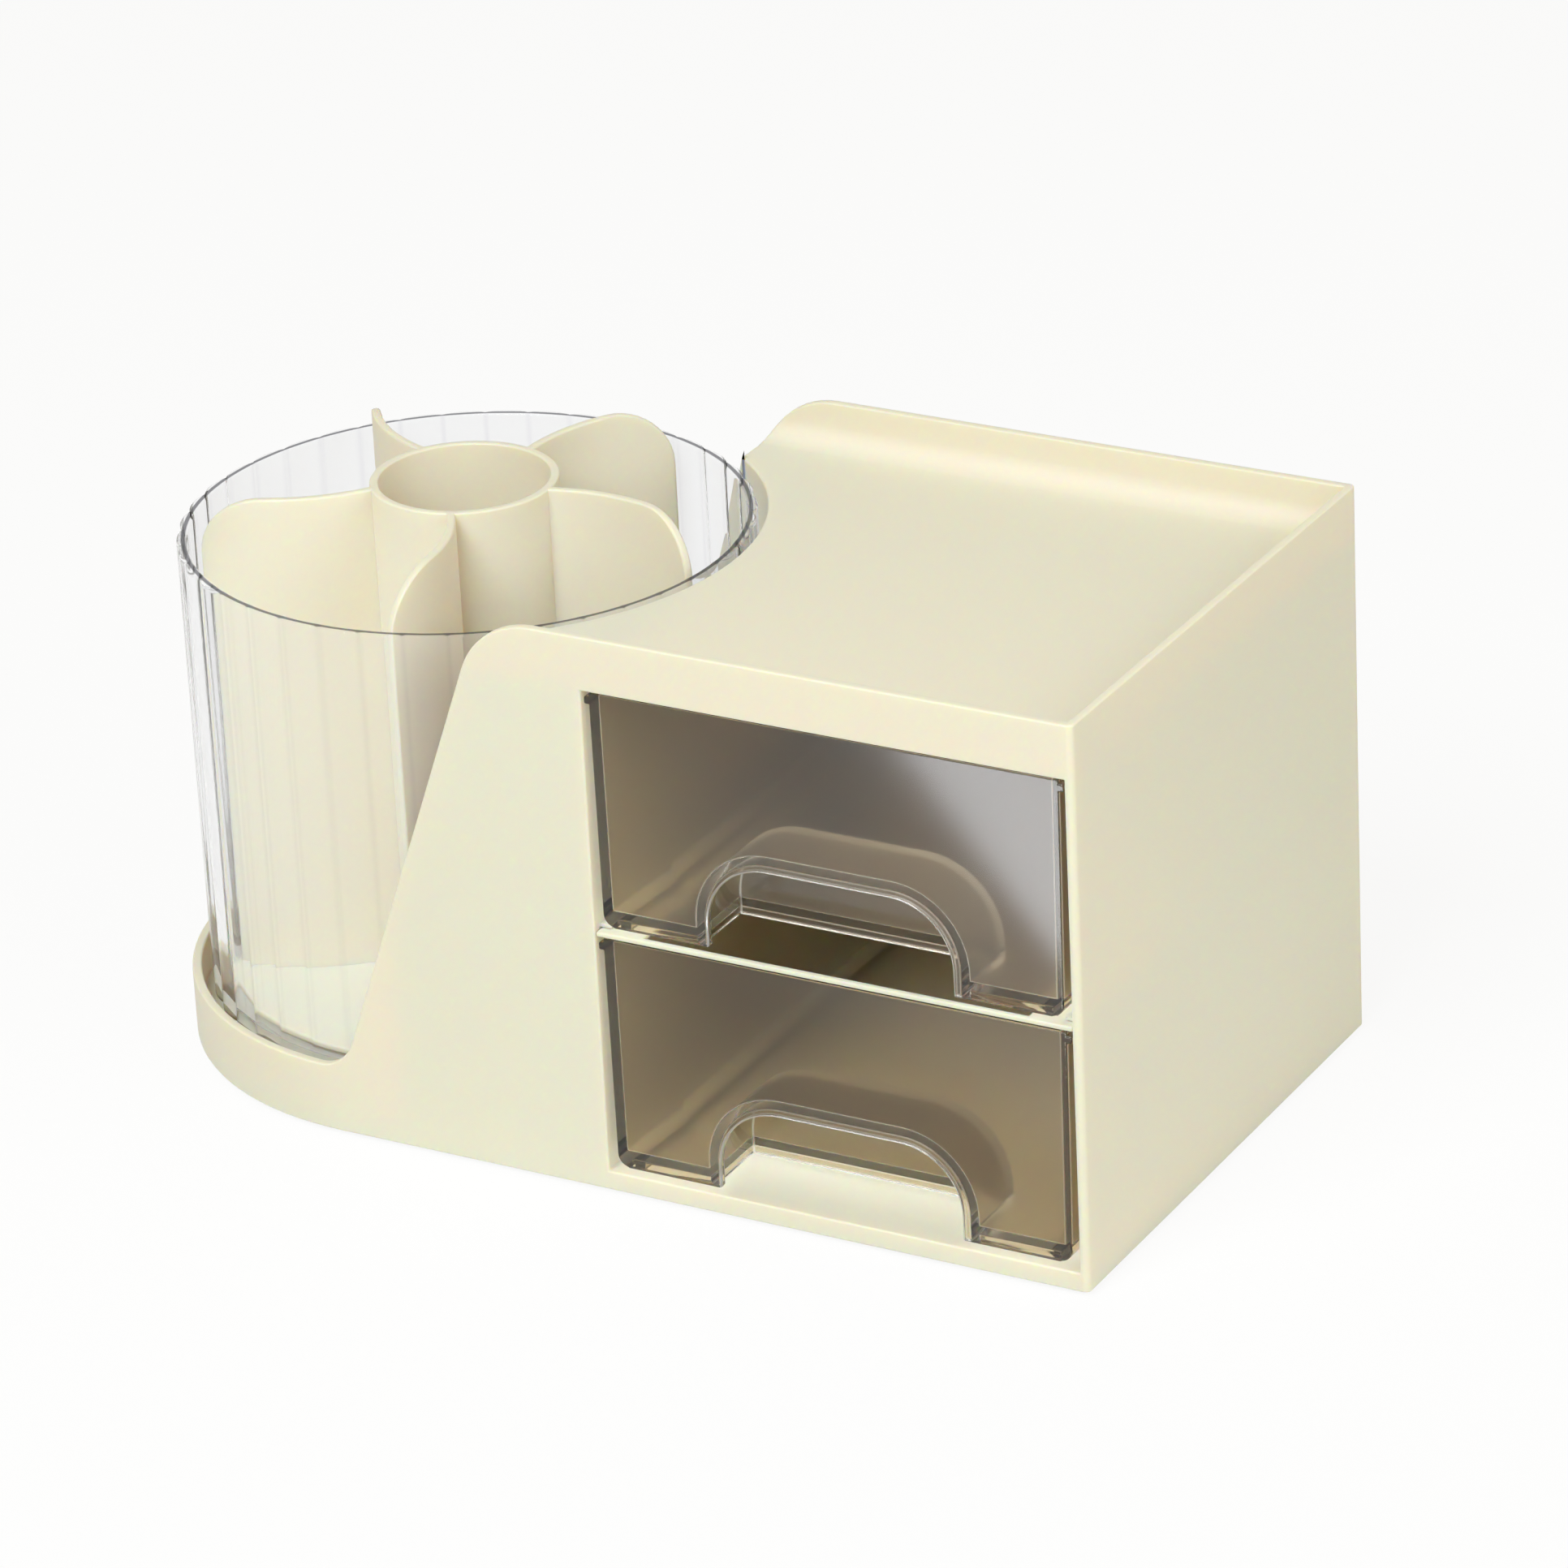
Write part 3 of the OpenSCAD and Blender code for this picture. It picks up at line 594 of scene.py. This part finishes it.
core_edge = 0.0005
core_section = [
    (0.0, 0.0, divider_floor),
    *arc(tube_r - tube_wall - core_edge, divider_floor + core_edge, core_edge, 270, 360),
    *arc(tube_r - tube_wall + core_edge, divider_h - core_edge, core_edge, 180, 90),
    *arc(tube_r - core_edge, divider_h - core_edge, core_edge, 90, 0),
    *arc(tube_r + core_edge, divider_floor + core_edge, core_edge, 180, 270),
    *arc(blade_r - core_edge, divider_floor - core_edge, core_edge, 90, 0),
    *arc(blade_r - core_edge, core_edge, core_edge, 0, -90),
    (0.0, 0.0, 0.0),
]
tree, wires = geometry_tree("blades_round_a_tube", blades)
make = wires["Geometry"].add
core = turned(wires, wires["Steps"], 0.0)
core = make("GeometryNodeMergeByDistance", {}, {"Geometry": core, "Distance": same_point})
blade = make("GeometryNodeObjectInfo", {}, {"Object": blade_mesh()}, "Geometry")
count = make("GeometryNodeMeshLine", {}, {"Count": wires["Blades"], "Offset": (0.0, 0.0, 0.0)})
number = make("GeometryNodeInputIndex", {}, {})
facing = make("ShaderNodeCombineXYZ", {}, {
    "Z": wires["First blade"] + number * (2 * math.pi / wires["Blades"])})
fan = make("GeometryNodeInstanceOnPoints", {}, {"Points": count, "Instance": blade, "Rotation": facing})
whole = combined(make, "UNION", {"Mesh 2": [core, fan]})
home = make("ShaderNodeCombineXYZ", {}, {"X": wires["Axis"], "Z": wires["Base"]})
end_tree(make("GeometryNodeTransform", {}, {"Geometry": whole, "Translation": home}), cream)
divider = grown("curved_divider", core_section, loop_edges(core_section)[:-1], tree, blades)
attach(divider, "divider")
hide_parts("brush_divider")


# Base plate: a flat moulded cover in cream ABS that closes the underside of the tray and of
# the hollow corners behind the wings.
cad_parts["base_plate"].data.materials.clear()
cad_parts["base_plate"].data.materials.append(cream)


# Base screws: the same countersunk screws, driven up through the base plate into the bosses
# of the housing.
base_screw_boxes = solids_of("base_screws")
base_screw = {**screw, "Length": base_screw_boxes[0][1].z - base_screw_boxes[0][0].z, "Tilt": math.pi}
head_places = [((low.x + high.x) / 2, (low.y + high.y) / 2, low.z) for low, high in base_screw_boxes]
base_screws = grown("base_plate_screws", head_places, [], screws_tree, base_screw)
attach(base_screws, "body")
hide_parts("base_screws")


# Rubber feet: soft pads, die cut with an eased edge and glued under the base plate and under
# the drawer bay, so that the part doesn't slide on a table.
def soft_rubber(place):
    dust = noise(place, 700.0, 3.0)
    return {
        "Base Color": dust.mix((0.50, 0.49, 0.45, 1.0), (0.58, 0.57, 0.53, 1.0)),
        "Roughness": 0.7 + 0.2 * dust,
        "Normal": relief(dust, 0.00002, 0.6),
    }


rubber = finish("soft_rubber", {"Specular IOR Level": 0.3}, soft_rubber)
foot_boxes = solids_of("rubber_feet")
foot = {"Radius": (foot_boxes[0][1].x - foot_boxes[0][0].x) / 2,
        "Height": foot_boxes[0][1].z - foot_boxes[0][0].z, "Edge": 0.0004, "Steps": 48}
tree, wires = geometry_tree("pads_on_points", foot)
make = wires["Geometry"].add
disc = make("GeometryNodeMeshCylinder", {}, {
    "Vertices": wires["Steps"], "Radius": wires["Radius"], "Depth": wires["Height"] - wires["Edge"]})
body_up = make("ShaderNodeCombineXYZ", {}, {"Z": (wires["Height"] + wires["Edge"]) * 0.5})
disc = make("GeometryNodeTransform", {}, {"Geometry": disc, "Translation": body_up})
tread = make("GeometryNodeMeshCone", {}, {
    "Vertices": wires["Steps"], "Radius Bottom": wires["Radius"] - wires["Edge"],
    "Radius Top": wires["Radius"], "Depth": wires["Edge"] * 1.5})
pad = combined(make, "UNION", {"Mesh 2": [disc, tread]})
end_tree(make("GeometryNodeInstanceOnPoints", {}, {
    "Points": wires["Geometry"], "Instance": pad}), rubber)
foot_places = [((low.x + high.x) / 2, (low.y + high.y) / 2, low.z) for low, high in foot_boxes]
feet = grown("foot_pads", foot_places, [], tree, foot)
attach(feet, "body")
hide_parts("rubber_feet")


# Divider frame: a flat open frame in cream ABS that slides in between the ribs of the bay and
# carries the upper drawer.
shelf_edge = 0.0004
shelf = eased("divider_frame", "drawer_shelf", shelf_edge, cream)
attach(shelf, "body")
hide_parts("divider_frame")


# Drawers: two alike, moulded in smoke-tinted clear plastic, polished outside and blasted matt
# inside, so that what lies in them shows only as a soft shade. An arched finger pull is let
# into each front, with a rounded lip round its mouth.
def smoked(place):
    """Tinted plastic: clouded where it is blasted, with a pale painted highlight and more coat on the
    rounded edges in "glint".
    """
    polish, blast, blast_cloud, edge_blur = 0.1, 0.3, 0.06, 0.2
    painted_glint_colour = (0.95, 0.93, 0.90, 1.0)
    cloud = noise(place, 25.0)
    frost = place.add("ShaderNodeAttribute", {"attribute_name": "frost"}, {}, "Fac")
    glint = place.add("ShaderNodeAttribute", {"attribute_name": "glint"}, {}, "Fac")
    tint = cloud.mix((0.70, 0.61, 0.46, 1.0), (0.73, 0.64, 0.49, 1.0))
    return {
        # On the "glint" edges the base colour is a painted highlight, a pale silver, and the coat there
        # makes them glossier.
        "Base Color": glint.mix(tint, painted_glint_colour),
        "Roughness": polish + frost * (blast + blast_cloud * cloud) + glint * edge_blur,
        "Coat Weight": glint,
    }


smoke = finish("smoked_plastic", {
    "IOR": 1.46, "Transmission Weight": 1.0, "Coat IOR": 2.4, "Coat Roughness": 0.1}, smoked)
drawer_wall = 0.0018
drawer_edge = 0.0004
pull_half_w = 0.0329
pull_top = 0.0248
pull_r = 0.018
pull_back = 0.019
lip = 0.0033
lip_edge = 0.0005
runner_h = 0.0013
runner_out = 0.05278


def inside(mesh):
    """For each face, whether it looks into the drawer: no level or downward way from it leads out."""
    shape = bmesh.new()
    shape.from_mesh(mesh)
    walls = BVHTree.FromBMesh(shape)
    shape.free()
    ways = [Vector(way) for way in ((0, -1, 0), (0, 1, 0), (-1, 0, 0), (1, 0, 0), (0, 0, -1))]
    lift = drawer_wall / 6
    starts = [face.center + face.normal * lift for face in mesh.polygons]
    return [all(walls.ray_cast(start, way)[0] for way in ways) for start in starts]


def smoked_drawer(node, name):
    """One drawer, with its blasted faces marked in "frost" and the edges that carry a painted highlight
    in "glint".
    """
    low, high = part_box(node)
    middle_x = (low.x + high.x) / 2
    close = 0.0001

    def by_pull(place, inset, depth):
        """True within the pull's arch, drawn in by inset, and no further back than depth."""
        beside = abs(place.x - middle_x) - (pull_half_w - pull_r)
        above = place.z - low.z - (pull_top - pull_r)
        away = math.hypot(max(beside, 0.0), max(above, 0.0))
        return away < pull_r - inset + close and place.y < low.y + depth + close

    def by_runner(place):
        """True on the foot of a side wall, where its runner leaves no room for a radius."""
        return abs(abs(place.x - middle_x) - runner_out) < close and place.z < low.z + runner_h + close

    drawer = eased(node, name, drawer_edge, smoke, by_runner,
                   lambda place: by_pull(place, lip, drawer_wall), lip_edge)
    mesh = drawer.data
    blasted = inside(mesh)
    edges = [mark.value for mark in mesh.attributes["edge"].data]
    frost = mesh.attributes.new("frost", "FLOAT", "FACE")
    glint = mesh.attributes.new("glint", "FLOAT", "FACE")
    for k, face in enumerate(mesh.polygons):
        frost.data[k].value = float(blasted[k])
        # The rounded edges at the front and round the pull get the painted highlight.
        in_front = blasted[k] and face.center.y < low.y + 2 * drawer_wall
        bright = in_front or by_pull(face.center, 0.0, pull_back)
        glint.data[k].value = edges[k] if bright else 0.0
    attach(drawer, node)
    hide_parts(node)
    drawer.visible_shadow = False
    return drawer


drawers = [smoked_drawer("upper_drawer", "upper_smoked_drawer"),
           smoked_drawer("lower_drawer", "lower_smoked_drawer")]


# Stage: a pale floor and a white surround, a soft lamp above the front of the part, a weaker
# one on the right, and a card that lies in front and shows only as a sheen on the drawers.
def seen(wire):
    """1 for what the camera sees, straight or in gloss and clear plastic, and 0 for light."""
    rays = [wire.add("ShaderNodeLightPath", {}, {}, kind)
            for kind in ("Is Camera Ray", "Is Glossy Ray", "Is Transmission Ray")]
    scattered = wire.add("ShaderNodeLightPath", {}, {}, "Diffuse Depth")
    direct = wire.math("LESS_THAN", scattered, 0.5)
    return direct * wire.math("MAXIMUM", wire.math("MAXIMUM", rays[0], rays[1]), rays[2])


floor_mesh = bpy.data.meshes.new("floor")
reach = 6.0
floor_mesh.from_pydata([(-reach, -reach, 0), (reach, -reach, 0), (reach, reach, 0), (-reach, reach, 0)],
                       [], [(0, 1, 2, 3)])
floor = bpy.data.objects.new("floor", floor_mesh)
bpy.context.scene.collection.objects.link(floor)
paper = bpy.data.materials.new("white_paper")
paper.use_nodes = True
paper.node_tree.nodes.remove(paper.node_tree.nodes["Principled BSDF"])
start = Wire(paper.node_tree)
paper_tint = (0.9, 0.9, 0.9, 1.0)
plain_share = 0.9  # the rest of what the camera sees is lit, and keeps the part's shadow
lit = start.add("ShaderNodeBsdfDiffuse", {}, {"Color": paper_tint})
white = start.add("ShaderNodeEmission", {}, {"Color": (1.0, 1.0, 1.0, 1.0), "Strength": 1.0})
shown = start.add("ShaderNodeMixShader", {}, {0: seen(start) * plain_share, 1: lit, 2: white})
paper.node_tree.links.new(shown.socket, paper.node_tree.nodes["Material Output"].inputs["Surface"])
floor_mesh.materials.append(paper)

world = bpy.data.worlds.new("white_surround")
bpy.context.scene.world = world
world.use_nodes = True
room = Wire(world.node_tree)
ambient = 0.3
warm, plain_white = (1.0, 0.84, 0.46, 1.0), (1.0, 1.0, 1.0, 1.0)
level = ambient + seen(room) * (1.0 - ambient)
tone = seen(room).mix(warm, plain_white)
glow = room.add("ShaderNodeBackground", {}, {"Color": tone, "Strength": level})
world.node_tree.links.new(glow.socket, world.node_tree.nodes["World Output"].inputs["Surface"])

middle = Vector((0.0, 0.0, 0.06))
card_turn = math.radians(45)
daylight = (0.88, 0.94, 1.0)
card_place = Vector((0.064, -0.338, 0.002))
lamps = {
    "front_lamp": ((0.02, -1.25, 1.55), middle, (1.0, 1.0), 29.0),
    "side_lamp": ((1.75, -0.3, 0.8), middle, (1.2, 1.2), 12.0),
    "sheen_card": (card_place, card_place + Vector((0, 0, 1)), (0.3, 0.2), 1.75),
}
for name, (place, target, size, power) in lamps.items():
    light = bpy.data.lights.new(name, "AREA")
    light.shape = "RECTANGLE"
    light.size, light.size_y = size
    light.energy = power
    light.color = daylight
    lamp = bpy.data.objects.new(name, light)
    lamp.location = place
    lamp.rotation_mode = "QUATERNION"
    lamp.rotation_quaternion = (Vector(target) - Vector(place)).to_track_quat("-Z", "Y")
    lamp.visible_transmission = False
    if name == "sheen_card":
        lamp.rotation_quaternion = Quaternion((0, 0, 1), card_turn) @ Quaternion((1, 0, 0), math.pi)
        lamp.visible_camera = False
        lamp.visible_diffuse = False
        shiny = bpy.data.collections.new("drawers_for_the_card")
        for drawer in drawers:
            shiny.objects.link(drawer)
        lamp.light_linking.receiver_collection = shiny
    bpy.context.scene.collection.objects.link(lamp)


# Camera: the photograph's view, from the right and above with a long lens and a slight roll.
view_azimuth = math.radians(29.82)
view_elevation = math.radians(24.80)
view_roll = math.radians(-2.84)
view_place = (0.78485, -1.3346, 0.7820)
flat = math.cos(view_elevation)
back = Vector((math.sin(view_azimuth) * flat, -math.cos(view_azimuth) * flat, math.sin(view_elevation)))
camera = bpy.data.objects.new("camera", bpy.data.cameras.new("camera"))
camera.data.lens = 174.4
camera.data.sensor_width = 36.0
camera.location = view_place
camera.rotation_mode = "QUATERNION"
camera.rotation_quaternion = (-back).to_track_quat("-Z", "Y") @ Quaternion((0, 0, 1), view_roll)
bpy.context.scene.collection.objects.link(camera)
bpy.context.scene.camera = camera
bpy.context.scene.view_settings.view_transform = "Standard"
